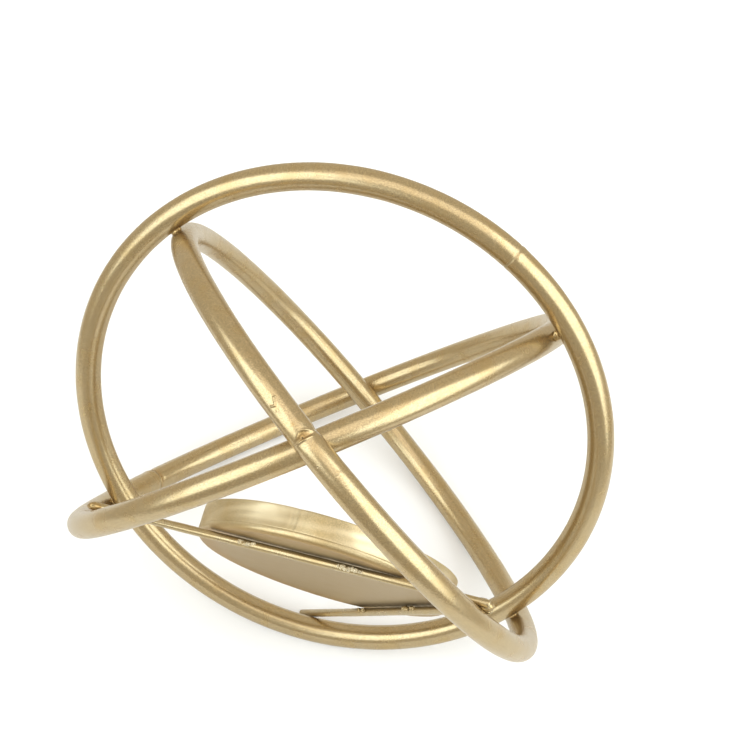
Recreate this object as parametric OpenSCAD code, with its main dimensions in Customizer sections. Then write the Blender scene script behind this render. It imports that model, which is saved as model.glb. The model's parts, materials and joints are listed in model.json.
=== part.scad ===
// Three-ring orb candle holder, welded from round iron rod.
// Three equal rings lean outwards around a level candle tray. Each ring touches the table at its
// low point and touches its neighbours at two crossings, where the rods pass over each other.
// +Z is up, z = 0 is the table, and the origin is the middle of the base of the bounding box.

/* [Rings] */
// Diameter of each ring, measured along the middle of its rod
ring_d = 100; // [90:1:120]
// Diameter of the ring rod
rod_d = 5; // [4:0.5:5.5]
// Length of weld metal between the two ends of each rod
butt_gap = 0.6; // [0.3:0.1:1]

/* [Lean of the rings] */
// Angle of the rear ring from level
rear_lean = 41.5; // [40:0.5:43]
// Angle of the right ring from level
right_lean = 40.5; // [40:0.5:43]
// Angle of the left ring from level
left_lean = 44; // [42:0.5:45]
// Compass direction of the rear ring's low point
rear_turn = 88.5; // [87:0.5:91]
// Compass direction of the right ring's low point
right_turn = -27.5; // [-31:0.5:-26]
// Compass direction of the left ring's low point
left_turn = 209; // [208:0.5:211]

/* [Crossings] */
// Gap on the crossing line of the rear and right rings, so that the curved rods clear each other
rear_right_gap = 0.05; // [0.05:0.05:0.6]
// Gap on the crossing line of the rear and left rings
rear_left_gap = 0.45; // [0.4:0.05:0.8]
// Gap on the crossing line of the left and right rings
left_right_gap = 0.2; // [0.2:0.05:0.6]
// Radius of the weld that fuses two rods where they cross
crossing_weld_r = 1.7; // [1.2:0.1:2.2]

/* [Butt joints] */
// Place of the rear ring's butt joint, as an angle around the ring from its low point
rear_joint_at = -150; // [-160:1:-140]
// Place of the right ring's butt joint
right_joint_at = -62; // [-66:1:-62]
// Place of the left ring's butt joint
left_joint_at = -67; // [-75:1:-60]

/* [Support wires] */
// Diameter of the two wires under the tray
wire_d = 1.6; // [1.2:0.1:2]
// Seat of the front wire on the left ring, as an angle around the ring from its low point
front_wire_left_at = -1.5; // [-3:0.5:0]
// Seat of the front wire on the right ring
front_wire_right_at = -9.5; // [-11:0.5:-9]
// Seat of the side wire on the rear ring
side_wire_rear_at = -3; // [-4:0.5:0]
// Seat of the side wire on the right ring
side_wire_right_at = -5; // [-6:0.5:-4.5]
// Length of the front wire past its seats
front_wire_over = 2.5; // [2.5:0.5:4]
// Length of the side wire past its seat on the rear ring
side_wire_over = 6; // [1:0.5:7]
// Length of the side wire past its seat on the right ring
side_wire_end = 1; // [0.5:0.5:1.5]
// Radius of the weld that holds one wire to a ring
wire_weld_r = 1.9; // [1.8:0.1:2.1]
// Radius of the weld that holds both wires to the right ring
shared_weld_r = 2.5; // [2.4:0.1:2.8]

/* [Candle tray] */
// Outside diameter of the tray
tray_d = 48.8; // [44:0.2:50]
// Height of the tray, from its underside to its rim
tray_h = 5.5; // [4:0.5:8]
// Thickness of the tray's sheet
sheet_t = 0.8; // [0.6:0.1:1]
// Height of the pressed pan under the tray's band
pan_h = 1.4; // [1.2:0.1:1.8]
// Width of the weld in the seam of the tray's band
seam_w = 0.5; // [0.3:0.1:1]
// Compass direction of the band's seam
seam_turn = 258; // [240:1:280]
// Offset of the tray from the middle of the rings, to the right
tray_x = 5.7; // [4:0.1:7]
// Offset of the tray from the middle of the rings, to the rear
tray_y = -4.2; // [-6:0.1:-3]
// Radius of the tack welds between the wires and the tray
tack_r = 1.3; // [1.1:0.1:1.6]

/* [Hidden] */
$fn = 96;

gold = "#c8aa72";
gold_dark = "#a98c58";
weld_gold = "#b6965a";
hair = 0.02;                   // clearance of pieces that only touch
tray_lift = 0.1;               // clearance of the tray over the higher of its wires
cut_angle = 12;                // how far a rod is followed each way, for cutting a weld to fit it
weld_out = 0.85;               // place of a wire's weld, from the rod's middle to the wire's
bead_turn = [50, 10, 0];       // turn of a drop of weld metal, with its poles clear of the rods
closest_steps = 4;             // rounds of the search for the place where two rods come closest

rod_r = rod_d / 2;
wire_r = wire_d / 2;
ring_r = ring_d / 2;
tray_r = tray_d / 2;

// The rings are numbered rear, right, left.
rear = 0;
right = 1;
left = 2;
lean = [rear_lean, right_lean, left_lean];
turn = [rear_turn, right_turn, left_turn];

function unit(v) = v / norm(v);
function flat(v) = [v.x, v.y];
function upward(v) = v.z < 0 ? -v : v;
function middle(p, q) = (p + q) / 2;

// Unit vectors of a ring: its axis, the way to its low point, and the level way across it.
function axis(k) = [sin(lean[k]) * cos(turn[k]), sin(lean[k]) * sin(turn[k]), cos(lean[k])];
function low(k) = [cos(lean[k]) * cos(turn[k]), cos(lean[k]) * sin(turn[k]), -sin(lean[k])];
function side(k) = [-sin(turn[k]), cos(turn[k]), 0];
function centre_z(k) = rod_r + ring_r * sin(lean[k]);

// The planes of rings i and j meet along this line, and ring i is the outer one at its upper end.
function crossing(i, j) = upward(unit(cross(axis(i), axis(j))));

// How far apart in plan two centres stand along that line, for the rods to touch.
function spread(i, j, gap) = rod_d + gap - (centre_z(i) - centre_z(j)) * crossing(i, j).z;

// The plan vector that meets two conditions, v * a = p and v * b = q.
function meet(a, p, b, q) = [p * b.y - q * a.y, a.x * q - b.x * p] / (a.x * b.y - a.y * b.x);

// The rear ring is pushed straight off the right ring, and the left ring then touches both.
rear_right = flat(crossing(rear, right));
rear_left = flat(crossing(rear, left));
left_right = flat(crossing(left, right));
rear_plan = rear_right * spread(rear, right, rear_right_gap) / (rear_right * rear_right);
left_plan = meet(left_right, spread(left, right, left_right_gap),
                 rear_left, rear_plan * rear_left - spread(rear, left, rear_left_gap));
plan = [rear_plan, [0, 0], left_plan];

// Half the room that a ring takes along X or Y, and the middle of the whole holder in plan.
function reach(k, i) = ring_r * sqrt(1 - pow(axis(k)[i], 2));
function highest(i) = max([for (k = [0:2]) plan[k][i] + reach(k, i)]);
function lowest(i) = min([for (k = [0:2]) plan[k][i] - reach(k, i)]);
base = [highest(0) + lowest(0), highest(1) + lowest(1)] / 2;
rings_middle = (plan[0] + plan[1] + plan[2]) / 3 - base;

function centre(k) = [plan[k].x - base.x, plan[k].y - base.y, centre_z(k)];
function ring_point(k, at) = centre(k) + ring_r * (cos(at) * low(k) + sin(at) * side(k));
function tangent(k, at) = cos(at) * side(k) - sin(at) * low(k);
function angle_on(k, v) = atan2(v * side(k), v * low(k));

// Angles on rings i and j where their rods come closest, starting from two nearby angles.
function closest(i, j, at_i, at_j, steps) =
    steps == 0 ? [at_i, at_j] :
    let (
        ti = tangent(i, at_i),
        tj = tangent(j, at_j),
        gap = ring_point(i, at_i) - ring_point(j, at_j),
        both = ti * tj,
        move_i = (both * (tj * gap) - ti * gap) / (1 - both * both),
        move_j = (tj * gap - both * (ti * gap)) / (1 - both * both),
        turn_per_mm = 180 / (PI * ring_r)
    )
    closest(i, j, at_i + move_i * turn_per_mm, at_j + move_j * turn_per_mm, steps - 1);

// Middle of the contact between rings i and j, at the upper (1) or lower (-1) end of their line.
function contact(i, j, end) =
    let (
        line = end * crossing(i, j),
        at = closest(i, j, angle_on(i, line), angle_on(j, line), closest_steps)
    )
    middle(ring_point(i, at[0]), ring_point(j, at[1]));

// A wire lies on the inner side of two rods: its axis passes over each rod at one seat.
function seat(k, at, way) =
    ring_point(k, at) + (rod_r + wire_r + hair) * upward(unit(cross(tangent(k, at), way)));
function seats(k0, at0, k1, at1) =
    let (way = unit(ring_point(k1, at1) - ring_point(k0, at0)))
    [seat(k0, at0, way), seat(k1, at1, way)];
front_seats = seats(left, front_wire_left_at, right, front_wire_right_at);
side_seats = seats(rear, side_wire_rear_at, right, side_wire_right_at);

// A place part of the way along a wire, and the height of the tray that rests on both wires.
function along(ends, part) = ends[0] + part * (ends[1] - ends[0]);
front_tacks = [0.41, 0.67];
side_tacks = [0.33, 0.62];
highest_wire = max(along(front_seats, front_tacks[1]).z, along(side_seats, side_tacks[0]).z);
tray_z = highest_wire + wire_r + tray_lift;
tray_at = [rings_middle.x + tray_x, rings_middle.y + tray_y, tray_z];

// A bent rod: part of ring k, from one angle to another.
module rod(k, from, to) {
    translate(centre(k))
        rotate([0, 0, turn[k]])
            rotate([0, lean[k], 0])
                rotate([0, 0, from])
                    rotate_extrude(angle = to - from)
                        translate([ring_r, 0])
                            circle(rod_r);
}

// A straight wire through two points, with an overhang at each end.
module wire(ends, start_over, end_over) {
    way = ends[1] - ends[0];
    translate(ends[0])
        rotate([0, acos(way.z / norm(way)), atan2(way.y, way.x)])
            translate([0, 0, -start_over])
                cylinder(h = norm(way) + start_over + end_over, r = wire_r);
}

module ring(k, joint_at) {
    half_gap = butt_gap / 2 * 180 / (PI * ring_r);
    color(gold) rod(k, joint_at + half_gap, joint_at + 360 - half_gap);
}

module butt_weld(k, joint_at) {
    half_gap = butt_gap / 2 * 180 / (PI * ring_r);
    color(weld_gold) rod(k, joint_at - half_gap, joint_at + half_gap);
}

// The length of rod near an angle, for cutting a weld to fit it.
module rod_near(k, at) {
    rod(k, at - cut_angle, at + cut_angle);
}

// A drop of weld metal.
module bead(r) {
    rotate(bead_turn) sphere(r);
}

// Weld metal around the contact of two crossing rods, cut to fit both.
module crossing_weld(i, j, end) {
    at = contact(i, j, end);
    color(weld_gold)
        difference() {
            translate(at) bead(crossing_weld_r);
            rod_near(i, angle_on(i, at - centre(i)));
            rod_near(j, angle_on(j, at - centre(j)));
        }
}

// Weld metal around one or two wires and the rod of ring k under them, cut to fit both.
module wire_weld(k, place, r) {
    color(weld_gold)
        difference() {
            translate(place) bead(r);
            rod_near(k, angle_on(k, place - centre(k)));
            children();
        }
}

// Weld metal between a wire and the underside of the tray.
module tack(ends, part) {
    place = along(ends, part);
    color(weld_gold)
        difference() {
            translate([place.x, place.y, tray_z - tack_r / 2]) bead(tack_r);
            translate([place.x, place.y, tray_z + tack_r])
                cube(2 * tack_r, center = true);
            children();
        }
}

module ring_rear() { ring(rear, rear_joint_at); }
module ring_right() { ring(right, right_joint_at); }
module ring_left() { ring(left, left_joint_at); }

module butt_weld_rear() { butt_weld(rear, rear_joint_at); }
module butt_weld_right() { butt_weld(right, right_joint_at); }
module butt_weld_left() { butt_weld(left, left_joint_at); }

module weld_rear_right_top() { crossing_weld(rear, right, 1); }
module weld_rear_right_base() { crossing_weld(rear, right, -1); }
module weld_rear_left_top() { crossing_weld(rear, left, 1); }
module weld_rear_left_base() { crossing_weld(rear, left, -1); }
module weld_left_right_top() { crossing_weld(left, right, 1); }
module weld_left_right_base() { crossing_weld(left, right, -1); }

module support_wire_front() {
    color(gold) wire(front_seats, front_wire_over, front_wire_over);
}

module support_wire_side() {
    color(gold) wire(side_seats, side_wire_over, side_wire_end);
}

// The middle of a weld lies just outside the rod, under the wire.
function weld_place(k, at, seat_point) = along([ring_point(k, at), seat_point], weld_out);

module wire_weld_left() {
    wire_weld(left, weld_place(left, front_wire_left_at, front_seats[0]), wire_weld_r)
        support_wire_front();
}

module wire_weld_rear() {
    wire_weld(rear, weld_place(rear, side_wire_rear_at, side_seats[0]), wire_weld_r)
        support_wire_side();
}

module wire_weld_right() {
    front_place = weld_place(right, front_wire_right_at, front_seats[1]);
    side_place = weld_place(right, side_wire_right_at, side_seats[1]);
    wire_weld(right, middle(front_place, side_place), shared_weld_r) {
        support_wire_front();
        support_wire_side();
    }
}

// Half the section of the pressed pan: a flat floor whose edge turns up through a rounded corner.
module pan_section() {
    square([tray_r - pan_h, sheet_t]);
    translate([tray_r - pan_h, pan_h])
        intersection() {
            difference() {
                circle(pan_h);
                circle(pan_h - sheet_t);
            }
            translate([0, -pan_h]) square(pan_h);
        }
}

module tray_floor() {
    color(gold_dark) translate(tray_at) rotate_extrude() pan_section();
}

// The wall of the tray, a strip rolled round on the pan's edge, from one angle to another.
module band(from, to) {
    translate([tray_at.x, tray_at.y, tray_z + pan_h])
        rotate([0, 0, from])
            rotate_extrude(angle = to - from)
                translate([tray_r - sheet_t, 0])
                    square([sheet_t, tray_h - pan_h]);
}

seam_half = seam_w / 2 * 180 / (PI * tray_r);

module tray_band() {
    color(gold) band(seam_turn + seam_half, seam_turn + 360 - seam_half);
}

module tray_seam_weld() {
    color(weld_gold) band(seam_turn - seam_half, seam_turn + seam_half);
}

module tack_front_left() { tack(front_seats, front_tacks[0]) support_wire_front(); }
module tack_front_right() { tack(front_seats, front_tacks[1]) support_wire_front(); }
module tack_side_rear() { tack(side_seats, side_tacks[0]) support_wire_side(); }
module tack_side_front() { tack(side_seats, side_tacks[1]) support_wire_side(); }

ring_rear();
ring_right();
ring_left();
butt_weld_rear();
butt_weld_right();
butt_weld_left();
weld_rear_right_top();
weld_rear_right_base();
weld_rear_left_top();
weld_rear_left_base();
weld_left_right_top();
weld_left_right_base();
support_wire_front();
support_wire_side();
wire_weld_left();
wire_weld_rear();
wire_weld_right();
tray_floor();
tray_band();
tray_seam_weld();
tack_front_left();
tack_front_right();
tack_side_rear();
tack_side_front();
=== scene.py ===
"""Three-ring orb candle holder, welded from round rod and painted satin gold.

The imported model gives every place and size. This script skins it: each rod, wire and sheet gets a
mesh with the small faults that hand welding and spray painting leave, and a procedural paint.
Lengths inside the modelling functions are in millimetres, and angles are in degrees.
"""

import json
import math
from types import SimpleNamespace

import bpy
import numpy as np
from mathutils import Matrix, Vector


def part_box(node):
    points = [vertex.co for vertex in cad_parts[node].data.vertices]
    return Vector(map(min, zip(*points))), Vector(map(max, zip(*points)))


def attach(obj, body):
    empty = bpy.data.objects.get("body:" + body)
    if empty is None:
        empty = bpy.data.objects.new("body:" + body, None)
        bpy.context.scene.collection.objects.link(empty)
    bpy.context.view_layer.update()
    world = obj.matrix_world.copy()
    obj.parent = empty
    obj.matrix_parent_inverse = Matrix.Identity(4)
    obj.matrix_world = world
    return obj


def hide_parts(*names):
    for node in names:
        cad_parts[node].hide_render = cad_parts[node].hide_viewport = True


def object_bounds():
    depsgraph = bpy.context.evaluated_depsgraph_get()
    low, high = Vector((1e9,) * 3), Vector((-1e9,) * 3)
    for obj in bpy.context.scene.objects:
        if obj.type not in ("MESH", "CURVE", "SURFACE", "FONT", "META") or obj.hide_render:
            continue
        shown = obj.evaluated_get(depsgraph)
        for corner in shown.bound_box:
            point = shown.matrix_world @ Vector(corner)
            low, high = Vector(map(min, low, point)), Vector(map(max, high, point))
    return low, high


MM = 0.001
ROD_CLEAR = 0.03    # how far a rod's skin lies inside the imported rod, before its faults
WALL_CLEAR = 0.14   # and the tray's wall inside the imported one
AROUND = 2.5        # millimetres around a rod for each radian of its section
# Rust colour; it also serves for painted shade on the tray's lower edge and by a wire weld, and for
# painted reflection on the crossing beads.
RUST_AND_SHADE = (0.42, 0.23, 0.055)
# Dirt colour; it also serves for painted shade beside the wires under the tray and beside a paint run's
# ridge.
DIRT_AND_SHADE = (0.05, 0.032, 0.014)


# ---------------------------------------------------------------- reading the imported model

def corners(*nodes):
    """Lowest and highest corners of some nodes together, in millimetres."""
    lows = [np.array(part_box(node)[0]) for node in nodes]
    highs = [np.array(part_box(node)[1]) for node in nodes]
    return np.min(lows, axis=0) / MM, np.max(highs, axis=0) / MM


def middle(*nodes):
    """Middle of the box that some nodes fill together."""
    low, high = corners(*nodes)
    return (low + high) / 2


def vertices(node):
    """All the vertices of a node, in millimetres."""
    mesh = frame["nodes"][node].data
    flat = np.zeros(len(mesh.vertices) * 3)
    mesh.vertices.foreach_get("co", flat)
    return flat.reshape(-1, 3) / MM


def unit(vector):
    """The same direction, with length 1."""
    return vector / np.linalg.norm(vector)


def read_ring(name):
    """Centre, directions and radii of a ring, and the place of its butt joint."""
    centre = middle("ring_" + name, "butt_weld_" + name)
    points = vertices("ring_" + name) - centre
    axis = np.linalg.svd(points, full_matrices=False)[2][2]
    axis = axis * np.sign(axis[2])
    low = unit(-np.array([0, 0, 1]) + axis * axis[2])
    side = np.cross(axis, low)
    radial = np.hypot(points @ low, points @ side)
    ring = SimpleNamespace(
        centre=centre,
        axis=axis,
        low=low,
        side=side,
        ring_r=(radial.max() + radial.min()) / 2,
        rod_r=(radial.max() - radial.min()) / 2,
    )
    ring.joint = angle_on(ring, middle("butt_weld_" + name))
    return ring


def angle_on(ring, place):
    """Angle of a place around a ring, from the ring's low point."""
    offset = place - ring.centre
    return math.degrees(math.atan2(offset @ ring.side, offset @ ring.low))


def read_wire(node):
    """Ends, direction and radius of a straight wire."""
    points = vertices(node)
    centre = points.mean(axis=0)
    way = np.linalg.svd(points - centre, full_matrices=False)[2][0]
    way = way * np.sign(way[np.argmax(np.abs(way))])
    along = (points - centre) @ way
    across = points - centre - np.outer(along, way)
    centre = centre + (across.max(axis=0) + across.min(axis=0)) / 2
    start = centre + along.min() * way
    end = centre + along.max() * way
    radius = np.linalg.norm(points - centre - np.outer((points - centre) @ way, way), axis=1).max()
    return SimpleNamespace(start=start, end=end, way=way, radius=radius)


def open_side(wire):
    """Level direction square to a wire, towards the front, where the tray's underside is in the open."""
    sideways = np.cross(wire.way, [0, 0, 1])
    return unit(sideways * -np.sign(sideways[1]))


def read_tray():
    """Middle of the tray's underside, its radii and its heights."""
    low, high = corners("tray_floor")
    bore = next(m for m in frame["record"]["mounts"] if m["kind"] == "bore")
    seam = middle("tray_seam_weld")
    base = np.array([(low[0] + high[0]) / 2, (low[1] + high[1]) / 2, low[2]])
    return SimpleNamespace(
        base=base,
        outer=(high[0] - low[0]) / 2,
        inner=bore["dims"]["r_mm"],
        pan_h=high[2] - low[2],
        height=corners("tray_band")[1][2] - low[2],
        seam=math.degrees(math.atan2(seam[1] - base[1], seam[0] - base[0])),
    )


# ---------------------------------------------------------------- meshes

def bell(x, width):
    """A smooth hump, 1 in the middle and about nothing past two widths."""
    return np.exp(-(np.asarray(x) / width) ** 2)


def step(x, width):
    """A smooth rise from 0 to 1."""
    return 0.5 + 0.5 * np.tanh(np.asarray(x) / width)


def ripple(x, y, waves, seed):
    """Smooth unevenness between about -1 and 1, from a few waves of seeded size and direction."""
    random = np.random.default_rng(seed)
    total = 0
    for _ in range(waves):
        wave_x, wave_y = random.normal(0, 1, 2)
        total = total + np.sin(wave_x * x + wave_y * y + random.uniform(0, 2 * np.pi))
    return total / math.sqrt(waves)


def piece(name, points, faces, material, nodes, marks):
    """Makes a smooth-shaded mesh from points in millimetres; it stands for the nodes.

    marks are values from 0 to 1 at its points, which its paint reads by name.
    """
    mesh = bpy.data.meshes.new(name)
    mesh.from_pydata((np.asarray(points) * MM).tolist(), [], faces)
    mesh.validate()
    mesh.update()
    mesh.polygons.foreach_set("use_smooth", [True] * len(mesh.polygons))
    for mark, values in marks.items():
        attribute = mesh.attributes.new(mark, "FLOAT", "POINT")
        attribute.data.foreach_set("value", np.asarray(values, dtype=np.float32).ravel())
    mesh.materials.append(material)
    made = bpy.data.objects.new(name, mesh)
    bpy.context.scene.collection.objects.link(made)
    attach(made, "root")
    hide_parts(*nodes)
    return made


def grid_faces(rows, columns, close_rows):
    """Quads of a grid whose columns close on themselves, and whose rows may."""
    faces = []
    for row in range(rows if close_rows else rows - 1):
        here = row * columns
        there = (row + 1) % rows * columns
        for column in range(columns):
            after = (column + 1) % columns
            faces.append((here + column, there + column, there + after, here + after))
    return faces


def spaced(coarse, fine, places):
    """Angles once around, a coarse step apart, and a fine step apart within reach of some places."""
    angles = list(np.arange(-180, 180, coarse))
    for place, reach in places:
        angles = [a for a in angles if abs(a - place) > reach + coarse / 2]
        angles += list(np.arange(place - reach, place + reach, fine))
    return np.array(sorted(angles))


# ---------------------------------------------------------------- the rings

def ring_piece(name, ring, angles, sections, skin, material, seed):
    """A rod bent round: skin(x, s) says how far its surface stands out, and its rust and dirt.

    x is the distance along the rod past its butt joint, and s the angle around its section,
    from the outside of the ring towards its axis.
    """
    a = np.radians(angles)[:, None]
    s = np.radians(sections)[None, :]
    x = (a - math.radians(ring.joint)) * ring.ring_r
    out, marks = skin(x, sections[None, :])
    long_waves = 0.02 * ripple(a * 9, 1, 4, seed)
    short_waves = 0.006 * ripple(a * 45, np.cos(s) * 1.5 + np.sin(s) * 1.5, 5, seed + 1)
    r = ring.rod_r - ROD_CLEAR + long_waves + short_waves + out
    radial = np.cos(a)[..., None] * ring.low + np.sin(a)[..., None] * ring.side
    points = ring.centre + ring.ring_r * radial
    points = points + (r * np.cos(s))[..., None] * radial + (r * np.sin(s))[..., None] * ring.axis
    marks = {mark: np.broadcast_to(value, out.shape) for mark, value in marks.items()}
    faces = grid_faces(*out.shape, close_rows=True)
    nodes = ["ring_" + name, "butt_weld_" + name]
    return piece("ring_" + name + "_rod", points.reshape(-1, 3), faces, material, nodes, marks)


def near(s, place):
    """Difference of an angle from a place, between -180 and 180."""
    return (s - place + 180) % 360 - 180


def pinhole(x, s, at_x, at_s, radius, depth):
    """A small pit in the paint, with a slightly raised lip, and how dark it is."""
    away = np.hypot(x - at_x, np.radians(near(s, at_s)) * AROUND) / radius
    return -depth * bell(away, 0.8) + depth * 0.35 * bell(away - 1.5, 0.5), bell(away, 0.9)


def pinholes(x, s, places):
    """Pits at some places (x, s, radius, depth, dirt); a depth below 0 makes a speck that stands up."""
    out = 0
    dirt = 0
    for at_x, at_s, radius, depth, shade in places:
        pit, dark = pinhole(x, s, at_x, at_s, radius, depth)
        out = out + pit
        dirt = dirt + shade * dark
    return out, dirt


def stroke(x, s, start, end, width, height):
    """A short straight ridge of paint between two places (x, s) on a rod."""
    y = np.radians(s) * AROUND
    start_y = math.radians(start[1]) * AROUND
    end_y = math.radians(end[1]) * AROUND
    long_x = end[0] - start[0]
    long_y = end_y - start_y
    part = ((x - start[0]) * long_x + (y - start_y) * long_y) / (long_x ** 2 + long_y ** 2)
    part = np.clip(part, 0, 1)
    away = np.hypot(x - start[0] - part * long_x, y - start_y - part * long_y)
    return height * bell(away, width)


def half_filled_weld(x, s):
    """The right ring's butt weld: a rusty hollow on one side of the seam, and a bead on the other."""
    facing = bell(near(s, 8), 42)
    seam = x - 0.35 * np.sin(np.radians(s))
    # The hollow is deep beside the seam and shallow at its outer edge, where it ends in a lip.
    length = 1.25 * bell(near(s, 14), 40) + 0.02
    into = np.clip(-seam / length, 0, 1)
    inside = step(-seam, 0.06) * step(seam + length, 0.14)
    hollow = -0.36 * facing * inside * (1 - 0.55 * into)
    lip = 0.16 * bell(seam + length + 0.12, 0.20) * bell(near(s, 38), 24)
    # The rod is ground a little low about the seam, so the bead stands no prouder than the rod.
    ground = -0.19 * bell(x, 1.6) * bell(near(s, 8), 60)
    bead = 0.18 * bell(seam - 0.14, 0.17) * bell(near(s, -6), 34)
    groove = -0.05 * bell(seam, 0.09)
    dent = -0.20 * bell(seam + 0.5, 0.8) * bell(near(s, 92), 28)
    pit, pit_dark = pinhole(x, s, -0.24, 2, 0.14, 0.28)
    rust = 0.55 * facing * inside + 0.35 * bell(seam, 0.2) * bell(near(s, 30), 20)
    dirt = 0.45 * bell(seam + 0.12, 0.12) * (0.3 + 0.7 * bell(near(s, 25), 45)) + pit_dark
    return ground + hollow + lip + bead + groove + dent + pit, rust, dirt


def paint_run(x, s):
    """A run of paint: an S-shaped ridge with a low drop below it, in a shallow hollow of the rod, with
    painted shadows beside the ridge and below the drop.
    """
    hollow = -0.20 * bell(x + 7.0, 3.0) * bell(near(s, -10), 55)
    bends = [(-7.95, 16), (-8.0, 8), (-7.3, 1), (-6.85, -7), (-7.15, -20)]
    widths = (0.13, 0.14, 0.13, 0.14)
    heights = (0.14, 0.16, 0.20, 0.21)
    ridge = stroke(x, s, (-6.0, -11), (-5.95, -8), 0.26, 0.08)
    for start, end, width, height in zip(bends, bends[1:], widths, heights):
        ridge = np.maximum(ridge, stroke(x, s, start, end, width, height))
    rust = 0.30 * bell(x + 6.4, 0.4) * bell(near(s, -6), 8)
    # Painted shadows beside the ridge and below the drop.
    shadow_beside_ridge = stroke(x, s, (-6.6, -10), (-6.85, -18), 0.12, 0.14)
    shadow_below_drop = stroke(x, s, (-5.6, -12), (-5.55, -8), 0.14, 0.12)
    return hollow + ridge, rust, shadow_beside_ridge + shadow_below_drop


def rough_patch(x, s):
    """A patch that is flattened above and crumbled along its lower edge."""
    flat = -0.03 * bell(x - 6.4, 1.1) * bell(near(s, 16), 22)
    crumbs = ripple(x * 7, np.radians(s) * 20, 6, 3)
    crumble = (0.03 + 0.04 * crumbs) * bell(x - 7.6, 0.35) * bell(near(s, 20), 15)
    dirt = 0.25 * bell(x - 7.5, 0.22) * bell(near(s, 20), 12) * step(-crumbs, 0.3)
    return flat + crumble, 0, dirt


def right_skin(x, s):
    """The right ring: a half-filled butt weld, a run of paint above it and a rough patch below."""
    s = near(s, 0)
    seam_x = 0.9
    x = x - seam_x
    faults = [half_filled_weld(x, s), paint_run(x, s), rough_patch(x, s)]
    out, rust, dirt = [sum(parts) for parts in zip(*faults)]
    places = [(4.7, -22, 0.12, 0.08, 0.3), (-2.4, -42, 0.14, 0.14, 0.5), (-3.7, 20, 0.11, 0.07, 0.3)]
    pits, pits_dirt = pinholes(x, s, places)
    rust_spot = 0.45 * bell(x + 2.8, 0.3) * bell(near(s, 6), 6)
    marks = {"rust": np.clip(rust + rust_spot, 0, 1), "dirt": np.clip(dirt + pits_dirt, 0, 1)}
    return out + pits, marks


def left_skin(x, s):
    """The left ring: a butt joint ground nearly flush, and specks along the front."""
    s = near(s, 0)
    seam = x - 0.15 * np.sin(np.radians(s) * 2)
    groove = -0.10 * bell(seam, 0.20)
    shelf = 0.13 * bell(seam - 0.75, 0.45) * (0.6 + 0.4 * np.cos(np.radians(s)))
    dent = -0.09 * bell(seam + 0.8, 0.7)
    places = [(9.5, 15, 0.13, -0.08, 0.35), (70, 8, 0.16, -0.08, 0.35),
              (96, 30, 0.15, -0.08, 0.35), (122, -20, 0.12, -0.08, 0.35)]
    specks, specks_dirt = pinholes(x, s, places)
    dirt = 0.35 * bell(seam, 0.22) + specks_dirt
    rust = 0.35 * bell(seam + 0.5, 0.5)
    marks = {"rust": np.clip(rust, 0, 1), "dirt": np.clip(dirt, 0, 1)}
    return groove + shelf + dent + specks, marks


def rear_skin(x, s):
    """The rear ring: the plainest of the three, with a ground butt joint."""
    s = near(s, 0)
    out = -0.06 * bell(x, 0.18) + 0.06 * bell(x - 0.7, 0.5) * (0.6 + 0.4 * np.cos(np.radians(s)))
    dirt = 0.15 * bell(x, 0.2)
    rust = 0.05 * bell(x + 0.4, 0.5)
    return out, {"rust": rust, "dirt": dirt}


def make_rings(paint):
    """All three rings, with finer steps where there are faults to show."""
    front_sections = np.arange(-76, 76, 2.2)
    back_sections = np.arange(76, 284, 6.5)
    sections = np.concatenate([front_sections, back_sections])
    even_sections = np.arange(0, 360, 5)
    joint = rings["right"].joint
    angles = spaced(0.9, 0.11, [(joint + 0.5, 3.0), (joint - 7.6, 2.4), (joint + 8.0, 3.6)])
    ring_piece("right", rings["right"], angles, sections, right_skin, paint, seed=5)
    angles = spaced(0.9, 0.13, [(rings["left"].joint, 1.8)])
    ring_piece("left", rings["left"], angles, even_sections, left_skin, paint, seed=4)
    angles = spaced(0.9, 0.13, [(rings["rear"].joint, 1.8)])
    ring_piece("rear", rings["rear"], angles, even_sections, rear_skin, paint, seed=4)


# ---------------------------------------------------------------- wires and welds

def wire_piece(name, node, paint, seed, worn_left=0.0):
    """A drawn wire, slightly bent and uneven, cropped at both ends; its left end may be ground short."""
    wire = read_wire(node)
    if wire.start[0] < wire.end[0]:
        wire.start = wire.start + worn_left * wire.way
    else:
        wire.end = wire.end - worn_left * wire.way
    length = np.linalg.norm(wire.end - wire.start)
    across = unit(np.cross(wire.way, [0, 0, 1]))
    up = np.cross(across, wire.way)
    crop = 0.35
    body = np.linspace(crop, length - crop, 180)
    ends = crop * (1 - np.cos(np.linspace(0, np.pi / 2, 7)))[:-1]
    along = np.concatenate([ends, body, (length - ends)[::-1]])
    edge = np.minimum(np.minimum(along, length - along) / crop, 1)
    radius = wire.radius * (0.55 + 0.45 * np.sqrt(1 - (1 - edge) ** 2))
    x = along[:, None]
    s = np.radians(np.arange(0, 360, 15))[None, :]
    r = radius[:, None] * (0.975 + 0.02 * ripple(x * 0.9, np.cos(s) * 2, 5, seed))
    bow = 0.05 * np.sin(np.pi * along / length * 3 + seed)
    skewed = 0.12 * np.cos(s) * (1 - edge)[:, None]
    points = wire.start + along[:, None, None] * wire.way
    points = points + (r * np.cos(s))[..., None] * across + (r * np.sin(s))[..., None] * up
    points = points + bow[:, None, None] * across + skewed[..., None] * wire.way
    rows, columns = r.shape
    faces = grid_faces(rows, columns, close_rows=False)
    faces.append(tuple(range(columns)))
    faces.append(tuple(reversed(range((rows - 1) * columns, rows * columns))))
    # Painted shade on the top of the wire where the tray covers it.
    tray = read_tray()
    from_middle = np.hypot(points[..., 0] - tray.base[0], points[..., 1] - tray.base[1])
    under_tray = step(tray.outer - 0.8 - from_middle, 0.3)
    marks = {"rust": np.zeros(r.shape), "dirt": 0.7 * under_tray * bell(near(np.degrees(s), 90), 42)}
    return piece(name, points.reshape(-1, 3), faces, paint, [node], marks)


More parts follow.
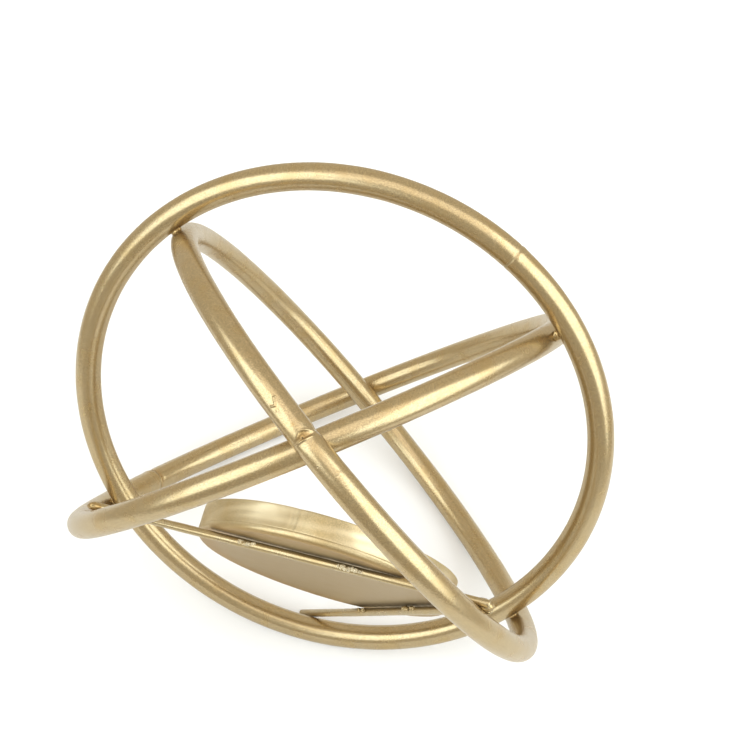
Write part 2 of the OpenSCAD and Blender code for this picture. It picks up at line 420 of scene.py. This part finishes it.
def drop(seed, radii, way=(0, 0, 1), centre=(0, 0, 0), rough=0.06):
    """One drop of weld metal: a ball pulled about, with smaller bumps and a few pores.

    radii are its half sizes, two of them across its way and the last along it.
    """
    along = unit(np.array(way, dtype=float))
    across = unit(np.cross(along, [0.3, 0.2, 1]))
    axes = np.stack([across * radii[0], np.cross(along, across) * radii[1], along * radii[2]])
    rows, columns = 36, 44
    tilt = np.linspace(0, np.pi, rows)[1:-1, None]
    turn = np.linspace(0, 2 * np.pi, columns, endpoint=False)[None, :]
    x = np.sin(tilt) * np.cos(turn)
    y = np.sin(tilt) * np.sin(turn)
    z = np.broadcast_to(np.cos(tilt), x.shape)
    bumps = 0.10 * ripple(x * 2.2 + z, y * 2.2 - z, 5, seed)
    crumbs = rough * ripple(x * 9 + z * 5, y * 9 - z * 6, 7, seed + 1)
    usual_r = 0.93
    most_r = 1.06
    r = np.minimum(usual_r + bumps + crumbs, most_r)
    ball = (np.stack([r * x, r * y, r * z], axis=-1) @ axes).reshape(-1, 3)
    points = np.vstack([ball, usual_r * axes[2], -usual_r * axes[2]]) + np.array(centre)
    faces = grid_faces(rows - 2, columns, close_rows=False)
    last = (rows - 3) * columns
    for column in range(columns):
        after = (column + 1) % columns
        faces.append((len(points) - 2, column, after))
        faces.append((len(points) - 1, last + after, last + column))
    # The deepest of the pores are coloured darker.
    dirt = np.clip(-2.5 * crumbs / rough - 1.2, 0, 1) * 0.5
    return points, faces, np.append(dirt.ravel(), [0, 0])


def weld_piece(name, node, paint, drops, rust=0.18):
    """One weld: its drops together, placed about the middle of its node."""
    points, faces, dirt = [], [], []
    for drop_points, drop_faces, drop_dirt in drops:
        start = sum(len(p) for p in points)
        points.append(drop_points + middle(node))
        faces += [tuple(start + corner for corner in face) for face in drop_faces]
        dirt.append(drop_dirt)
    dirt = np.concatenate(dirt)
    marks = {"rust": np.full(dirt.shape, rust), "dirt": dirt}
    return piece(name, np.vstack(points), faces, paint, [node], marks)


def make_welds(paint, crumb_paint):
    """A bead where two rings cross or a wire meets a ring, and crumbs where a wire meets the tray."""
    crossings = ["rear_right_top", "rear_right_base", "rear_left_top", "rear_left_base",
                 "left_right_top", "left_right_base"]
    for seed, place in enumerate(crossings):
        # Their rust tone is partly painted reflection: the orange tinge where two rods touch.
        bead = drop(20 + seed, (1.1, 1.1, 1.1))
        weld_piece("crossing_bead_" + place, "weld_" + place, paint, [bead], rust=0.3)
    front = read_wire("support_wire_front")
    side = read_wire("support_wire_side")
    # Its rust tone is partly painted shade, where the wire meets the ring.
    bead = drop(40, (0.95, 0.75, 2.1), front.way, (-0.4, 0, -0.1), rough=0.01)
    weld_piece("wire_bead_left", "wire_weld_left", paint, [bead], rust=0.4)
    bead = drop(41, (0.78, 0.75, 1.3), side.way, rough=0.03)
    weld_piece("wire_bead_rear", "wire_weld_rear", paint, [bead], rust=0.35)
    bead = drop(47, (1.35, 1.3, 2.3), front.way, rough=0.02)
    weld_piece("wire_bead_right", "wire_weld_right", paint, [bead])
    make_tacks("front", ("left", "right"), front, crumb_paint)
    make_tacks("side", ("rear", "front"), side, paint)


def make_tacks(name, ends, wire, paint):
    """Rows of crumbs where a wire is tacked to the tray, on the wire's open side."""
    outward = open_side(wire)
    for seed, (end, last) in enumerate(zip(ends, (1.4, 3.2))):
        random = np.random.default_rng(seed + 70)
        drops = []
        for along in np.arange(-1.2, last, 0.42):
            along = along + random.uniform(-0.2, 0.2)
            place = wire.way * along + outward * random.uniform(0.6, 1.1)
            place = place + np.array([0, 0, random.uniform(-0.25, 0.2)])
            radii = random.uniform(0.26, 0.52, 3)
            drops.append(drop(seed * 10 + len(drops) + 80, radii, wire.way, place, rough=0.22))
        weld_piece("tack_crumbs_" + name + "_" + end, "tack_" + name + "_" + end, paint, drops, rust=0.0)


# ---------------------------------------------------------------- the candle tray

def lathe(name, base, profile, turns, waver, material, nodes, marks, capped=False):
    """A profile of (radius, height) points turned about a vertical axis; waver moves the skin.

    The profile closes on itself, or where it is capped, it starts and ends beside the axis.
    """
    t = np.radians(turns)[:, None]
    r = np.array([p[0] for p in profile])[None, :]
    z = np.array([p[1] for p in profile])[None, :]
    dr, dz = waver(r, z, turns[:, None])
    r = r + dr
    z = z + dz
    points = np.stack([base[0] + r * np.cos(t), base[1] + r * np.sin(t), base[2] + z], -1)
    rows, columns = points.shape[:2]
    faces = grid_faces(rows, columns, close_rows=True)
    marks = {mark: np.broadcast_to(value, (rows, columns)).ravel() for mark, value in marks.items()}
    if capped:
        # The last column of faces would close the profile; a fan about the axis at each end replaces it.
        faces = [face for place, face in enumerate(faces) if (place + 1) % columns]
        first_pole = rows * columns
        last_pole = first_pole + 1
        for row in range(rows):
            here = row * columns
            there = (row + 1) % rows * columns
            faces.append((there, here, first_pole))
            faces.append((here + columns - 1, there + columns - 1, last_pole))
        marks = {mark: np.append(value, [value[0], value[columns - 1]]) for mark, value in marks.items()}
        poles = [points[:, 0].mean(axis=0), points[:, -1].mean(axis=0)]
        points = np.vstack([points.reshape(-1, 3), poles])
    return piece(name, points.reshape(-1, 3), faces, material, nodes, marks)


def arc(centre, radius, start, end, count):
    """Points of an arc in a profile."""
    spread = np.radians(np.linspace(start, end, count))
    return [(centre[0] + radius * math.cos(t), centre[1] + radius * math.sin(t)) for t in spread]


def wall_shift(tray, z, turn):
    """How far the tray's wall is out of round, at a height and a turn in degrees."""
    t = np.radians(turn)
    tall = np.clip(z / tray.height, 0, 1)
    hollow = -0.07 * np.sin(np.pi * tall) * (0.6 + 0.4 * np.sin(3 * t + 1))
    long_waves = 0.05 * ripple(np.cos(t) * 7, np.sin(t) * 7 + tall * 0.8, 6, 11)
    dimples = 0.022 * ripple(np.cos(t) * 16 + tall * 2, np.sin(t) * 16 + tall * 3, 9, 14)
    return hollow + long_waves + dimples - WALL_CLEAR


def wall_pale_and_highlight(tray, z, turn):
    """Streaky cream tone on the tray's wall, at random, and two large cream patches that are painted
    highlights.
    """
    from_seam = np.radians(near(turn, tray.seam)) * tray.outer
    cloud = ripple(from_seam * 0.3, z * 1.6, 7, 31)
    streaks = ripple(from_seam * 0.45, z * 3.2, 8, 33)
    # The two large patches are painted highlights; the clouds and streaks are random paint tone.
    left_highlight = 1.25 * bell(from_seam + 6.0, 6.2) * bell(z - 3.2, 2.3)
    right_highlight = 0.9 * bell(from_seam - 11.5, 3.6) * bell(z - 2.6, 2.4)
    highlights = (left_highlight + right_highlight) * (0.78 + 0.16 * cloud + 0.16 * streaks)
    return np.clip(highlights + 0.22 * np.clip(cloud, 0, 1) + 0.08 * np.clip(streaks, 0, 1), 0, 1)


def make_tray(paint):
    """The tray: its pressed pan and its rolled band."""
    tray = read_tray()
    make_pan(tray, paint)
    make_band(tray, paint)


def pan_profile(tray):
    """Outside of the pan from its middle to its edge, and the inside from its edge to its middle."""
    sheet = tray.outer - tray.inner
    corner = 1.1
    middle_r = 0.6
    flat_r = tray.outer - 3
    outside = [(r, 0) for r in np.linspace(middle_r, flat_r, 20)]
    outside += [(r, 0) for r in np.linspace(flat_r, tray.outer - corner, 10)[1:]]
    outside += arc((tray.outer - corner, corner), corner, -90, 0, 7)[1:]
    outside += [(tray.outer, tray.pan_h - 0.25), (tray.outer, tray.pan_h - 0.02)]
    inside = [(tray.outer - 0.02, tray.pan_h), (tray.inner + 0.1, tray.pan_h)]
    inside += [(tray.inner, tray.pan_h - 0.1), (tray.inner, sheet + 0.1), (tray.inner - 0.1, sheet)]
    inside += [(r, sheet) for r in np.linspace(tray.inner - 1, middle_r, 20)]
    return outside, inside


def crevice_shade_strips(tray, r, turn):
    """Painted shadow on the underside, in the crevice on the open side of each wire, weaker at the front
    wire's left.
    """
    x = r * np.cos(np.radians(turn))
    y = r * np.sin(np.radians(turn))
    crevice_shade = 0
    for name, at_left in (("front", 0.3), ("side", 1)):
        wire = read_wire("support_wire_" + name)
        outward = open_side(wire)
        away = (tray.base[0] + x - wire.start[0]) * outward[0]
        away = away + (tray.base[1] + y - wire.start[1]) * outward[1]
        strength = at_left + (1 - at_left) * step(x + 5, 3)
        crevice_shade = crevice_shade + strength * step(away, 0.2) * bell(np.maximum(away - 1.0, 0), 1.5)
    return np.clip(crevice_shade, 0, 1)


def make_pan(tray, paint):
    """The pressed floor with its turned-up edge; painted shade lies beside the wires under it and along
    its lower edge.
    """
    outside, inside = pan_profile(tray)
    turns = np.arange(0, 360, 1.0)

    def waver(r, z, turn):
        t = np.radians(turn)
        dent = 0.05 * ripple(r * np.cos(t) * 0.12, r * np.sin(t) * 0.12, 6, 5)
        at_wall = step(r - tray.outer + 1.5, 0.3)
        return wall_shift(tray, z, turn) * at_wall, dent * step(tray.outer - 2 - r, 1)

    profile = outside + inside
    r = np.array([p[0] for p in profile])
    z = np.array([p[1] for p in profile])
    outer_face = np.arange(len(profile)) < len(outside)
    below = step(0.3 - z, 0.12) * outer_face
    marks = {
        # Painted shade: rust colour darkens the underside's outer edge.
        "rust": 0.35 * step(r - tray.outer + 4, 1) * step(0.55 - z, 0.25) * outer_face,
        # Painted shadow in the crevice beside each wire.
        "dirt": 0.65 * crevice_shade_strips(tray, r, turns[:, None]) * below,
        # The underside is coloured darker and warmer.
        "thin": below,
        # Random cream paint tone, and painted highlights, on the pan's wall.
        "pale": wall_pale_and_highlight(tray, z, turns[:, None]) * step(z - 0.5, 0.2) * outer_face,
    }
    lathe("tray_pan", tray.base, profile, turns, waver, paint, ["tray_floor"], marks, capped=True)


def band_profile(tray, low, high):
    """Section of the rolled band, with its rim rounded and its foot cut square."""
    rim = 0.18
    foot = 0.02
    band = arc((tray.outer - foot, low + foot), foot, -90, 0, 3)
    band += [(tray.outer, z) for z in np.linspace(low + 0.2, high - 2 * rim, 11)]
    band += arc((tray.outer - rim, high - rim), rim, 0, 90, 4)
    band += arc((tray.inner + rim, high - rim), rim, 90, 180, 4)
    band += [(tray.inner, z) for z in np.linspace(high - 2 * rim, low + 0.2, 9)]
    band += arc((tray.inner + foot, low + foot), foot, 180, 270, 3)
    return band


def make_band(tray, paint):
    """The rolled band that stands on the pan's edge, with its puckered seam."""
    low = tray.pan_h + 0.005
    high = tray.height
    profile = band_profile(tray, low, high)
    turns = spaced(1.0, 0.25, [(near(tray.seam, 0), 6)])

    def past_seam(turn):
        return np.radians(near(turn, tray.seam)) * tray.outer

    def waver(r, z, turn):
        from_seam = past_seam(turn)
        tall = (z - low) / (high - low)
        crease = -0.05 * bell(from_seam - 0.15 * tall, 0.3) - 0.02 * bell(from_seam + 0.75, 0.3)
        pucker = 0.05 * ripple(from_seam * 1.6, tall * 3, 6, 12) * bell(from_seam, 2.4)
        top = -0.05 * bell(from_seam, 0.9) * step(tall - 0.8, 0.1)
        return wall_shift(tray, z, turn) + crease + pucker, top

    from_seam = past_seam(turns[:, None])
    height = np.array([p[1] for p in profile])[None, :]
    marks = {
        "rust": np.zeros((1, 1)),
        "dirt": 0.12 * bell(from_seam, 0.25) + 0.06 * bell(from_seam + 0.75, 0.25),
        # Random cream paint tone, and painted highlights, on the band.
        "pale": wall_pale_and_highlight(tray, height, turns[:, None]),
    }
    nodes = ["tray_band", "tray_seam_weld"]
    lathe("tray_wall", tray.base, profile, turns, waver, paint, nodes, marks)


# ---------------------------------------------------------------- paint

class Paint:
    """A material's node tree, with a short way to make each kind of node that the paint needs."""

    def __init__(self, name):
        self.material = bpy.data.materials.new(name)
        self.material.use_nodes = True
        self.nodes = self.material.node_tree.nodes
        self.link = self.material.node_tree.links.new
        self.shader = self.nodes["Principled BSDF"].inputs
        self.place = self.nodes.new("ShaderNodeTexCoord").outputs["Object"]

    def noise(self, scale, detail, roughness=0.5):
        """Noise fixed to the object."""
        made = self.nodes.new("ShaderNodeTexNoise")
        made.inputs["Scale"].default_value = scale
        made.inputs["Detail"].default_value = detail
        made.inputs["Roughness"].default_value = roughness
        self.link(self.place, made.inputs["Vector"])
        return made.outputs["Fac"]

    def ramp(self, value, *stops):
        """A colour from a value, by stops of (position, colour)."""
        made = self.nodes.new("ShaderNodeValToRGB")
        elements = made.color_ramp.elements
        elements[0].position = stops[0][0]
        elements[0].color = (*stops[0][1], 1)
        elements[1].position = stops[-1][0]
        elements[1].color = (*stops[-1][1], 1)
        for position, shade in stops[1:-1]:
            elements.new(position).color = (*shade, 1)
        self.link(value, made.inputs["Fac"])
        return made.outputs["Color"]

    def mix(self, factor, first, second):
        """The first colour, turning into the second, a constant one, as the factor rises."""
        made = self.nodes.new("ShaderNodeMix")
        made.data_type = "RGBA"
        factor_in, first_in, second_in = made.inputs[0], made.inputs[6], made.inputs[7]
        self.link(factor, factor_in)
        self.link(first, first_in)
        second_in.default_value = (*second, 1)
        return made.outputs[2]

    def mark(self, name):
        """A mark that the mesh carries, from 0 to 1."""
        made = self.nodes.new("ShaderNodeAttribute")
        made.attribute_name = name
        return made.outputs["Fac"]

    def spread(self, value, low, high):
        """A value from 0 to 1, spread between low and high."""
        made = self.nodes.new("ShaderNodeMapRange")
        made.inputs["To Min"].default_value = low
        made.inputs["To Max"].default_value = high
        self.link(value, made.inputs["Value"])
        return made.outputs["Result"]

    def add(self, first, second):
        """Two values added together."""
        made = self.nodes.new("ShaderNodeMath")
        self.link(first, made.inputs[0])
        self.link(second, made.inputs[1])
        return made.outputs["Value"]

    def bump(self, height, strength, distance):
        """A normal from a height; the distance is in metres."""
        made = self.nodes.new("ShaderNodeBump")
        made.inputs["Strength"].default_value = strength
        made.inputs["Distance"].default_value = distance
        self.link(height, made.inputs["Height"])
        return made.outputs["Normal"]


def tinted(colour, *factors):
    """A colour with each channel multiplied, up to 1."""
    return tuple(min(1, channel * factor) for channel, factor in zip(colour, factors))


def gold_paint(name, colour, roughness, grain):
    """Sprayed metallic paint: flakes that glint and cloudy patches, changed where marks say so.

    The marks give pale paint with painted highlights, a darker underside, rust with painted shade and
    reflection, and dirt with painted shade.
    """
    paint = Paint(name)
    flakes = paint.noise(4400, 3, 0.65)
    clouds = paint.noise(260, 3)
    dark_flake = tinted(colour, 0.76, 0.76, 0.76)
    bright_flake = tinted(colour, 1.24, 1.24, 1.24)
    skin = paint.ramp(flakes, (0.30, dark_flake), (0.50, colour), (0.70, bright_flake))
    warm_patches = paint.ramp(clouds, (0.45, (0, 0, 0)), (0.75, (0.5, 0.5, 0.5)))
    skin = paint.mix(warm_patches, skin, tinted(colour, 0.98, 0.86, 0.62))
    # Pale: random cream paint, and painted highlights on the tray's wall.
    skin = paint.mix(paint.mark("pale"), skin, tinted(colour, 1.75, 1.9, 2.3))
    # Darker and warmer on the underside.
    skin = paint.mix(paint.mark("thin"), skin, tinted(colour, 0.76, 0.70, 0.64))
    # Rust, and painted shade and reflection.
    skin = paint.mix(paint.mark("rust"), skin, RUST_AND_SHADE)
    # Dirt, and painted shade.
    skin = paint.mix(paint.mark("dirt"), skin, DIRT_AND_SHADE)
    dirt_and_shade_rough = paint.spread(paint.mark("dirt"), 0, 0.55)
    paint.link(skin, paint.shader["Base Color"])
    paint.link(paint.add(paint.spread(clouds, *roughness), dirt_and_shade_rough), paint.shader["Roughness"])
    paint.link(paint.spread(paint.mark("dirt"), 0.92, 0.3), paint.shader["Metallic"])
    paint.link(paint.bump(flakes, grain, 0.00004), paint.shader["Normal"])
    return paint.material


# ---------------------------------------------------------------- stage, light and camera

def stage_material(name, shade, glow):
    """A pale sheet that lights up a little, and is clear from behind."""
    material = bpy.data.materials.new(name)
    material.use_nodes = True
    nodes = material.node_tree.nodes
    links = material.node_tree.links
    nodes.clear()
    output = nodes.new("ShaderNodeOutputMaterial")
    matt = nodes.new("ShaderNodeBsdfDiffuse")
    matt.inputs["Color"].default_value = (shade, shade, shade * 1.01, 1)
    light = nodes.new("ShaderNodeEmission")
    light.inputs["Color"].default_value = (0.99, 0.995, 1.0, 1)
    light.inputs["Strength"].default_value = glow
    both = nodes.new("ShaderNodeAddShader")
    clear = nodes.new("ShaderNodeBsdfTransparent")
    facing = nodes.new("ShaderNodeNewGeometry")
    choose = nodes.new("ShaderNodeMixShader")
    links.new(matt.outputs[0], both.inputs[0])
    links.new(light.outputs[0], both.inputs[1])
    links.new(facing.outputs["Backfacing"], choose.inputs["Fac"])
    links.new(both.outputs[0], choose.inputs[1])
    links.new(clear.outputs[0], choose.inputs[2])
    links.new(choose.outputs[0], output.inputs["Surface"])
    return material


def sheet_object(name, centre, normal, size, material):
    """A flat square of the stage, facing along its normal."""
    half = size / 2
    mesh = bpy.data.meshes.new(name)
    outline = [(-half, -half, 0), (half, -half, 0), (half, half, 0), (-half, half, 0)]
    mesh.from_pydata(outline, [], [(0, 1, 2, 3)])
    mesh.materials.append(material)
    made = bpy.data.objects.new(name, mesh)
    turn = Vector(normal).to_track_quat("Z", "Y")
    made.matrix_world = Matrix.Translation(Vector(centre)) @ turn.to_matrix().to_4x4()
    bpy.context.scene.collection.objects.link(made)
    made.visible_shadow = False
    return made


def resting_plane(towards):
    """A point and the direction of the plane that the holder lies on when it is tipped over.

    The plane touches all three rods, on the side that towards points to.
    """
    away = unit(np.array(towards, dtype=float))
    # Each round starts from the last one's direction, and after a few nothing changes.
    for _ in range(40):
        touching = [furthest(ring, away) for ring in rings.values()]
        normal = unit(np.cross(touching[1] - touching[0], touching[2] - touching[0]))
        away = unit(normal * np.sign(normal @ away))
    return touching[0] @ away * away, away


def furthest(ring, way):
    """The point of a ring's rod that lies furthest along a direction."""
    in_plane = way - (way @ ring.axis) * ring.axis
    return ring.centre + ring.ring_r * unit(in_plane) + ring.rod_r * way


def make_stage():
    """The white sheet that the holder lies on in the main view, and a floor for its own base.

    The gold reflects only a small, duller sheet, so that its undersides stay dark.
    """
    wide = 6
    place, away = resting_plane((0, 0.976, -0.22))
    white = stage_material("paper_white", 0.78, 0.20)
    paper = sheet_object("paper", place * MM, -away, wide, white)
    paper.visible_glossy = False
    dull_white = stage_material("near_paper_white", 0.72, 0.07)
    middle_of_paper = middle_of_all - (middle_of_all - place * MM) @ away * away
    near_paper = sheet_object("near_paper", middle_of_paper, -away, 0.32, dull_white)
    near_paper.visible_camera = False
    near_paper.visible_diffuse = False
    grey_white = stage_material("floor_white", 0.62, 0.50)
    floor = sheet_object("floor", (0, 0, 0), (0, 0, 1), wide, grey_white)
    floor.visible_glossy = False
    floor.visible_diffuse = False


def camera_axes(camera):
    """Right, up and back directions of the camera."""
    return [Vector(column[:3]) for column in camera.matrix_world.col[:3]]


def make_camera():
    """The holder lies tipped over, so the camera is low in front of it and rolled.

    Its place and aim are in metres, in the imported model's frame.
    """
    eye = Vector((0.0308, -0.2958, -0.0462))
    aim = Vector((0.0043, -0.0048, 0.0470))
    roll = 17.24
    camera = bpy.data.objects.new("camera", bpy.data.cameras.new("camera"))
    turn = (aim - eye).to_track_quat("-Z", "Y").to_matrix().to_4x4()
    camera.matrix_world = Matrix.Translation(eye) @ turn @ Matrix.Rotation(math.radians(roll), 4, "Z")
    camera.data.sensor_width = 36
    camera.data.lens = 76.8
    camera.data.clip_start = 0.01
    bpy.context.scene.collection.objects.link(camera)
    bpy.context.scene.camera = camera
    bpy.context.view_layer.update()
    return camera


def softbox(name, camera, off_axis, clock, distance, width, height, radiance, colour):
    """An area light at an angle from the camera's direction, on the side given by a clock angle.

    The angles are in degrees, and the clock angle runs from the camera's right upwards.
    """
    right, up, back = camera_axes(camera)
    sideways = math.cos(math.radians(clock)) * right + math.sin(math.radians(clock)) * up
    way = math.cos(math.radians(off_axis)) * back + math.sin(math.radians(off_axis)) * sideways
    light = bpy.data.lights.new(name, "AREA")
    light.shape = "RECTANGLE"
    light.size = width
    light.size_y = height
    light.energy = radiance * math.pi * width * height
    light.color = colour
    made = bpy.data.objects.new(name, light)
    turn = way.to_track_quat("Z", "Y").to_matrix().to_4x4()
    made.matrix_world = Matrix.Translation(way * distance + Vector(middle_of_all)) @ turn
    bpy.context.scene.collection.objects.link(made)
    return made


def make_world():
    """A dim warm room, a little lighter above than below."""
    world = bpy.data.worlds.new("room")
    bpy.context.scene.world = world
    world.use_nodes = True
    nodes = world.node_tree.nodes
    links = world.node_tree.links
    background = nodes["Background"]
    background.inputs["Color"].default_value = (1.0, 0.92, 0.76, 1)
    direction = nodes.new("ShaderNodeTexCoord")
    split = nodes.new("ShaderNodeSeparateXYZ")
    strength = nodes.new("ShaderNodeMapRange")
    strength.inputs["From Min"].default_value = -1
    strength.inputs["To Min"].default_value = 0.56
    strength.inputs["To Max"].default_value = 0.80
    links.new(direction.outputs["Generated"], split.inputs["Vector"])
    links.new(split.outputs["Z"], strength.inputs["Value"])
    links.new(strength.outputs["Result"], background.inputs["Strength"])


def make_lights(camera):
    """Softboxes to the left and right of the camera, and a weaker one above it."""
    cool = (0.82, 0.93, 1.0)
    neutral = (1.0, 0.98, 0.95)
    softbox("left_softbox", camera, off_axis=46, clock=174, distance=0.6,
            width=0.54, height=0.58, radiance=2.5, colour=cool)
    softbox("right_softbox", camera, off_axis=52, clock=-4, distance=0.6,
            width=0.62, height=0.74, radiance=2.6, colour=cool)
    softbox("top_softbox", camera, off_axis=23, clock=72, distance=0.8,
            width=0.92, height=0.68, radiance=1.0, colour=neutral)


# ---------------------------------------------------------------- the scene

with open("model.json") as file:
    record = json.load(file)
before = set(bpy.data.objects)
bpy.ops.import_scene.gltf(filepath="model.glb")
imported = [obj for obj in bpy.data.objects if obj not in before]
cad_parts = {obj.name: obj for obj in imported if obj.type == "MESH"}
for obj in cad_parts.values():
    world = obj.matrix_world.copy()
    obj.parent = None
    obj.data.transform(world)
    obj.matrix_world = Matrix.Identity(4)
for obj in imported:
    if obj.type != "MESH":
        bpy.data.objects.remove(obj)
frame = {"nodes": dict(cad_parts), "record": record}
cad_box = [list(corner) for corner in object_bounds()]
middle_of_all = (np.array(cad_box[0]) + np.array(cad_box[1])) / 2
rings = {name: read_ring(name) for name in ("rear", "right", "left")}

rod_paint = gold_paint("gold_paint_rod", (0.495, 0.385, 0.22), roughness=(0.22, 0.31), grain=0.34)
wire_paint = gold_paint("gold_paint_wire", (0.48, 0.38, 0.22), roughness=(0.24, 0.32), grain=0.22)
tray_paint = gold_paint("gold_paint_tray", (0.54, 0.435, 0.25), roughness=(0.36, 0.46), grain=0.2)
weld_paint = gold_paint("gold_paint_weld", (0.48, 0.37, 0.20), roughness=(0.20, 0.32), grain=0.25)
crumb_paint = gold_paint("gold_paint_crumbs", (0.80, 0.70, 0.50), roughness=(0.40, 0.55), grain=0.25)

make_rings(rod_paint)
wire_piece("support_wire_front_skin", "support_wire_front", wire_paint, seed=1, worn_left=1.3)
wire_piece("support_wire_side_skin", "support_wire_side", wire_paint, seed=2)
make_welds(weld_paint, crumb_paint)
make_tray(tray_paint)

make_stage()
camera = make_camera()
make_world()
make_lights(camera)
bpy.context.scene.view_settings.view_transform = "Standard"
